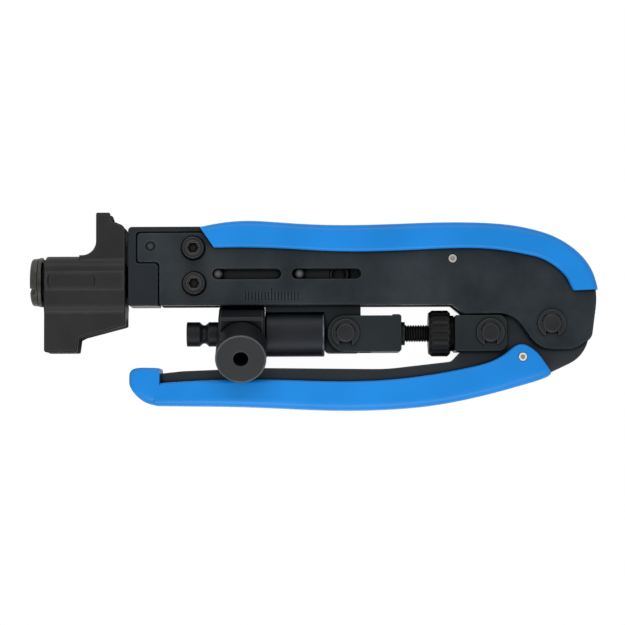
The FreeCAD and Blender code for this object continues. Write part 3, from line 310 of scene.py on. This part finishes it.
# Dowel and rivet: a black dowel pressed through the plates' noses, with painted shade in the
# gap round its end, and a bright steel rivet that is headed over at the fixed grip.
def ringed_end(name, node, stops, shine, rough):
    """A pin whose end is ringed by colours; each stop is a share of the radius and a colour."""
    radius = 0.00145
    made, tree, shader = node_material(name)
    low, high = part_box(node)
    middle = (low + high) / 2
    place = add_node(tree, "TexCoord", {}).outputs["Object"]
    centred = add_node(tree, "Mapping", {"Vector": place, "Location": (-middle.x, -middle.y, 0)})
    flat = add_node(tree, "VectorMath", {0: centred.outputs[0], 1: (1 / radius, 1 / radius, 0)},
                    operation="MULTIPLY")
    share = add_node(tree, "VectorMath", {0: flat.outputs[0]}, operation="LENGTH").outputs["Value"]
    ring_unevenness = add_node(tree, "TexNoise", {"Vector": place, "Scale": 1800}).outputs["Fac"]
    uneven_share = arithmetic(tree, "MULTIPLY_ADD", ring_unevenness, 0.16, share)
    tree.links.new(ramp(tree, uneven_share, stops), shader.inputs["Base Color"])
    shader.inputs["Metallic"].default_value = shine
    shader.inputs["Specular IOR Level"].default_value = 0.25
    shader.inputs["Roughness"].default_value = rough
    dress(made, node)


# The dowel's dark outer ring is painted shade in the gap round it.
ringed_end("black_dowel", "head_dowel", greys((0.3, 0.045), (0.68, 0.022), (0.8, 0.001)),
           shine=0, rough=0.4)
ringed_end("frame_rivet_steel", "frame_rivet",
           [(0.5, (0.24, 0.23, 0.21)), (0.66, (0.42, 0.41, 0.39)), (0.9, (0.46, 0.45, 0.43)),
            (0.99, (0.01, 0.01, 0.01))], shine=0.5, rough=0.4)

# Anvil turret: one investment casting, tumbled and blackened, matt and finely grainy. It
# turns on the shank of a slotted screw.
cast_steel = metal("cast_turret", (0.012, 0.012, 0.012), (0.021, 0.022, 0.021), rough=0.55,
                   mottle=0.016, grain=0.00025, grain_depth=0.00003, edge=0.0011)
dress(cast_steel, "anvil_turret")

# Turret screw and washer: turned steel with a browner oxide, brushed round its axis. The
# screw has a cheese head with a collar, a coin slot and a plain shank into the head block.
brown_steel = metal("brown_oxide_screw", (0.022, 0.020, 0.016), (0.090, 0.086, 0.075), rough=0.36,
                    mottle=0.004, grain=0.0003, grain_depth=0.00001, edge=0.0005, turned=20, edge_rub_and_highlight=0.4)
dress(brown_steel, "turret_washer")


def add_piece(name, mesh_source, material, body):
    """A new piece from a finished bmesh, riding with its body."""
    bmesh.ops.recalc_face_normals(mesh_source, faces=mesh_source.faces)
    mesh = bpy.data.meshes.new(name)
    mesh_source.to_mesh(mesh)
    mesh_source.free()
    for face in mesh.polygons:
        face.use_smooth = True
    mesh.set_sharp_from_angle(angle=math.radians(40))
    mesh.materials.append(material)
    made = bpy.data.objects.new(name, mesh)
    bpy.context.scene.collection.objects.link(made)
    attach(made, body)
    return made


low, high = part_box("turret_screw")
washer_low, washer_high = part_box("turret_washer")
screw_axis_y = (washer_low.y + washer_high.y) / 2
shank_radius = 0.003
screw_profile = [
    (low.x + 0.00012, 0.0),
    (low.x, 0.0055),
    (low.x + 0.00006, 0.0066),
    (low.x + 0.0003, 0.00715),
    (low.x + 0.0008, 0.0074),
    (low.x + 0.0022, 0.0075),
    (low.x + 0.0023, 0.0073),
    (low.x + 0.0024, 0.0073),
    (low.x + 0.0025, 0.0077),
    (low.x + 0.0034, 0.0078),
    (washer_low.x, 0.0076),
    (washer_low.x, shank_radius),
    (high.x, shank_radius),
    (high.x, 0.0),
]
turned_head = bmesh.new()
head_verts = [turned_head.verts.new((x, radius, 0)) for x, radius in screw_profile]
head_edges = [turned_head.edges.new(pair) for pair in zip(head_verts, head_verts[1:])]
bmesh.ops.spin(turned_head, geom=head_verts + head_edges, cent=(0, 0, 0), axis=(1, 0, 0),
               angle=2 * math.pi, steps=96, use_duplicate=False)
bmesh.ops.remove_doubles(turned_head, verts=turned_head.verts, dist=0.000001)
bmesh.ops.translate(turned_head, verts=turned_head.verts, vec=(0, screw_axis_y, 0))
coin_screw = add_piece("coin_slot_screw", turned_head, brown_steel, "frame")
coin_slot_depth = 0.0016
coin_slot_width = 0.0019
coin_slot_turn = math.radians(27)
bpy.ops.mesh.primitive_cube_add(size=1, location=(low.x, screw_axis_y, 0))
coin_cutter = bpy.context.object
coin_cutter.scale = (2 * coin_slot_depth, coin_slot_width, 0.03)
coin_cutter.rotation_euler = (coin_slot_turn, 0, 0)
slotted = coin_screw.modifiers.new("coin_slot", "BOOLEAN")
slotted.operation = "DIFFERENCE"
slotted.solver = "EXACT"
slotted.object = coin_cutter
bpy.context.view_layer.update()
slotted_mesh = bpy.data.meshes.new_from_object(
    coin_screw.evaluated_get(bpy.context.evaluated_depsgraph_get()))
coin_screw.modifiers.clear()
coin_screw.data = slotted_mesh
bpy.data.objects.remove(coin_cutter)
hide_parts("turret_screw")

# Carriage bar and its tail: flat blackened steel that slides between the plates, with a lower
# step at its rear end, which closes the view through the rear slot.
link_steel = metal("black_oxide_link", (0.006, 0.011, 0.013), (0.013, 0.019, 0.021), rough=0.45,
                   mottle=0.018, grain=0.00035, grain_depth=0.00001, edge=0.0006)
dress(link_steel, "carriage_slide")
tail_size = Vector((0.0058, 0.0068, 0.0048))
tail_middle = Vector((0.0536, 0.01795, -0.0013))
tail_mesh = bmesh.new()
bmesh.ops.create_cube(tail_mesh, size=1)
for vert in tail_mesh.verts:
    vert.co = Vector(c * d for c, d in zip(vert.co, tail_size)) + tail_middle
bmesh.ops.bevel(tail_mesh, geom=list(tail_mesh.edges), offset=0.0004, segments=2, affect="EDGES")
add_piece("carriage_bar_tail", tail_mesh, link_steel, "carriage")

# Pivot pins, snap rings and bush: hardened pins, each kept by two spring steel rings, and a
# flanged bush of the same steel that is pressed into the round hole of the carriage bar.
pin_steel = metal("black_pin_steel", (0.008, 0.010, 0.011), (0.018, 0.020, 0.021), rough=0.36,
                  mottle=0.006, grain=0.0003, grain_depth=0.000008, edge=0.0005, edge_rub_and_highlight=0.3)
dress(pin_steel, *[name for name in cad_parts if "pivot" in name])
bush_x = 0.0476
bush_y = 0.01843
bush_profile = [(0.0022, 0.00135), (0.0022, 0.0034), (0.0024, 0.0036), (0.0029, 0.0036),
                (0.00305, 0.0034), (0.00305, 0.00135)]
around = 48
turns = [2 * math.pi * i / around for i in range(around)]
bush_mesh = bmesh.new()
bush_rings = []
for radius, z in bush_profile:
    bush_rings.append([
        bush_mesh.verts.new((bush_x + radius * math.cos(turn), bush_y + radius * math.sin(turn), z))
        for turn in turns])
for a, b in zip(bush_rings, bush_rings[1:] + bush_rings[:1]):
    for i in range(around):
        j = (i + 1) % around
        bush_mesh.faces.new((a[i], a[j], b[j], b[i]))
add_piece("carriage_bush", bush_mesh, pin_steel, "carriage")

# Guide pins: two steel pins pressed through the carriage bar. They run in the plates' slots,
# and their ends carry a painted highlight in the middle and are dark towards the rim.
guide_stops = [(0.1, (0.14, 0.14, 0.145)), (0.6, (0.06, 0.06, 0.062)), (0.9, (0.006, 0.006, 0.006))]
ringed_end("front_guide_end", "front_guide_pin", guide_stops, shine=0.2, rough=0.35)
ringed_end("rear_guide_end", "rear_guide_pin", guide_stops, shine=0.2, rough=0.35)

# Barrel: a plain turned bar that the carriage's lug holds, smoother and blacker than the
# plates. The chamfer at its link end is bright in patches, partly scraped steel and partly a
# painted highlight.
barrel_steel = metal("satin_black_barrel", (0.004, 0.006, 0.009), (0.011, 0.013, 0.016), rough=0.48,
                     mottle=0.02, grain=0.00025, grain_depth=0.000006, edge=0.0005, turned=12,
                     edge_rub_and_highlight=0.4)
chamfer_inset = 0.00035
chamfer_half = 0.00022
scrape_and_highlight_brightness = 60
tree = barrel_steel.node_tree
place = add_node(tree, "TexCoord", {}).outputs["Object"]
barrel_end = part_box("barrel")[1].x
band = arithmetic(tree, "COMPARE", object_axes(tree)["X"], barrel_end - chamfer_inset, chamfer_half)
scrape_and_glint = add_node(tree, "TexNoise", {"Vector": place, "Scale": 260, "Detail": 3}).outputs["Fac"]
brightness = arithmetic(tree, "MULTIPLY", arithmetic(tree, "POWER", scrape_and_glint, 3), scrape_and_highlight_brightness)
regrade(barrel_steel, arithmetic(tree, "ADD", 1, arithmetic(tree, "MULTIPLY", band, brightness)))
dress(barrel_steel, "barrel")

# Swivel block, its pin and the long tip: milled and turned steel with a smooth satin oxide.
# The block turns on the pin at the barrel's end; the long tip is pressed into the block.
turned_steel = metal("satin_black_turned", (0.004, 0.005, 0.007), (0.010, 0.011, 0.013), rough=0.48,
                     mottle=0.02, grain=0.00025, grain_depth=0.000006, edge=0.0005, turned=12,
                     edge_rub_and_highlight=0.4)
dress(turned_steel, "swivel_block", "swivel_pin", "long_tip")

# Broad tip: a turned steel drum with a bore, set in the block at a slant. Its flat face is a
# dull grey with a painted highlight round its rim, made uneven by noise, and its side is nearly
# black.
face_steel = metal("turned_tip_face", (0.011, 0.013, 0.015), (0.020, 0.022, 0.024), rough=0.5,
                   mottle=0.01, grain=0.00025, grain_depth=0.000008, edge=0.0006, edge_rub_and_highlight=0.7)
tip_slant = math.radians(25)
tip_way = Vector((0, -math.sin(tip_slant), math.cos(tip_slant)))
tip_foot = Vector((0.01735, 0, 0))
tip_low, tip_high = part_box("broad_tip")
tip_radius = (tip_high.x - tip_low.x) / 2
side_level = 0.35
rim_highlight_brightness = 5
tree = face_steel.node_tree
point = add_node(tree, "TexCoord", {}).outputs
facing = add_node(tree, "VectorMath", {0: point["Normal"], 1: tip_way}, operation="DOT_PRODUCT")
from_foot = add_node(tree, "VectorMath", {0: point["Object"], 1: tip_foot}, operation="SUBTRACT")
sideways = add_node(tree, "VectorMath", {0: from_foot.outputs[0], 1: tip_way},
                    operation="CROSS_PRODUCT")
off_axis = add_node(tree, "VectorMath", {0: sideways.outputs[0]}, operation="LENGTH")
rim_unevenness = add_node(tree, "TexNoise", {"Vector": point["Object"], "Scale": 900}).outputs["Fac"]
share = arithmetic(tree, "DIVIDE", off_axis.outputs["Value"], tip_radius)
uneven_share = arithmetic(tree, "ADD", share, arithmetic(tree, "MULTIPLY", rim_unevenness, 0.03))
rim_highlight = ramp(tree, uneven_share, greys((0.935, 0.2), (0.96, 0.64), (0.985, 0.92)))
face_level = arithmetic(tree, "MULTIPLY", rim_highlight, rim_highlight_brightness)
on_face = arithmetic(tree, "GREATER_THAN", facing.outputs["Value"], 0.6)
above_side = arithmetic(tree, "SUBTRACT", face_level, side_level)
regrade(face_steel, arithmetic(tree, "MULTIPLY_ADD", on_face, above_side, side_level))
dress(face_steel, "broad_tip")

# Link clevises: two forked steel blocks with the same oxide as the carriage bar. The front
# one is tapped for the adjusting screw, the rear one carries the screw's plain neck.
dress(link_steel, "front_clevis", "rear_clevis")

# Thumb wheel and adjusting screw: a ribbed wheel of matt black steel, fixed on a screw with a
# fine cut thread. The screw's plain core turns in the rear clevis and is flared at its end.
wheel_steel = metal("matt_black_wheel", (0.003, 0.003, 0.003), (0.007, 0.007, 0.007), rough=0.5,
                    mottle=0.006, grain=0.00025, grain_depth=0.00001, edge=0.0003, gloss=0.16,
                    edge_rub_and_highlight=0.15)
dress(wheel_steel, "thumb_wheel")
low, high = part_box("adjusting_screw")
wheel_low, wheel_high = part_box("thumb_wheel")
thread_pitch = 0.0008
thread_outer = 0.0027
thread_inner = 0.00228
thread_into_wheel = 0.0004
thread_end = wheel_low.x + thread_into_wheel
rings_per_turn = 12
running_gap = 0.00006
neck_radius = high.y
core_radius = 0.002 - running_gap
flare_radius = 0.0032 - 2 * running_gap
flare_length = 0.0012
flare_start = high.x - flare_length + running_gap
web_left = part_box("rear_clevis")[0].x - running_gap
thread_mesh = bmesh.new()
rings = []


def add_ring(x, radii):
    """One ring of points round the screw's axis."""
    rings.append([thread_mesh.verts.new((x, radius * math.cos(turn), radius * math.sin(turn)))
                  for turn, radius in zip(turns, radii)])


def thread_radius(x, turn):
    """The screw's radius at a point of the helix, with flattened crests and roots."""
    phase = (x / thread_pitch - turn / (2 * math.pi)) % 1
    height = min(1, max(0, 1.35 * (1 - abs(2 * phase - 1)) - 0.1))
    return thread_inner + (thread_outer - thread_inner) * height


add_ring(low.x, [thread_inner] * around)
ring_count = int((thread_end - low.x) / thread_pitch * rings_per_turn)
for k in range(ring_count + 1):
    x = low.x + (thread_end - low.x) * k / ring_count
    add_ring(x, [thread_radius(x, turn) for turn in turns])
plain_end = [
    (thread_end, thread_outer),
    (wheel_high.x, thread_outer),
    (wheel_high.x, neck_radius),
    (web_left, neck_radius),
    (web_left, core_radius),
    (flare_start, core_radius),
    (high.x, flare_radius),
]
for x, radius in plain_end:
    add_ring(x, [radius] * around)
for a, b in zip(rings, rings[1:]):
    for i in range(around):
        j = (i + 1) % around
        thread_mesh.faces.new((a[i], a[j], b[j], b[i]))
thread_mesh.faces.new(list(reversed(rings[0])))
thread_mesh.faces.new(rings[-1])
threaded_screw = add_piece("threaded_screw", thread_mesh, wheel_steel, "adjuster")
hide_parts("adjusting_screw")

# Moving handle: a thick steel plate between the side plates, painted lighter than the plates
# to stand in for the light it lacks down between them, and a bright rivet with a brass core
# that keeps its grip.
handle_steel_painted_lighter = metal("black_oxide_handle_painted_lighter", (0.022, 0.028, 0.032), (0.036, 0.042, 0.047), rough=0.45,
                     mottle=0.02, grain=0.00035, grain_depth=0.00001, edge=0.0006)
dress(handle_steel_painted_lighter, "handle_plate")
ringed_end("grip_rivet_steel", "grip_rivet",
           [(0.3, (0.30, 0.22, 0.12)), (0.56, (0.36, 0.29, 0.19)), (0.68, (0.75, 0.76, 0.77)),
            (0.9, (0.75, 0.76, 0.77)), (0.99, (0.02, 0.02, 0.03))], shine=0.5, rough=0.4)

# Grips: bright blue soft plastic, dipped over the metal, satin and faintly uneven, with a
# fine pebbled skin and painted shade in corners and along the line where it ends on the steel.
grip_vinyl, tree, shader = node_material("blue_dipped_grip")
place = add_node(tree, "TexCoord", {}).outputs["Object"]
wave = add_node(tree, "TexNoise", {"Vector": place, "Scale": 45, "Detail": 2}).outputs["Fac"]
blue = ramp(tree, wave, [(0.3, (0.004, 0.230, 0.70)), (0.7, (0.008, 0.272, 0.82))])
tree.links.new(scaled(tree, blue, painted_corner_shade(tree, 0.35)), shader.inputs["Base Color"])
shader.inputs["Roughness"].default_value = 0.42
shader.inputs["Specular IOR Level"].default_value = 0.25
pebble = add_node(tree, "TexNoise", {"Vector": place, "Scale": 900, "Detail": 2}).outputs["Fac"]
bump = add_node(tree, "Bump", {"Strength": 0.25, "Distance": 0.00003, "Height": pebble})
tree.links.new(bump.outputs[0], shader.inputs["Normal"])
dress(grip_vinyl, "upper_grip", "lower_grip")
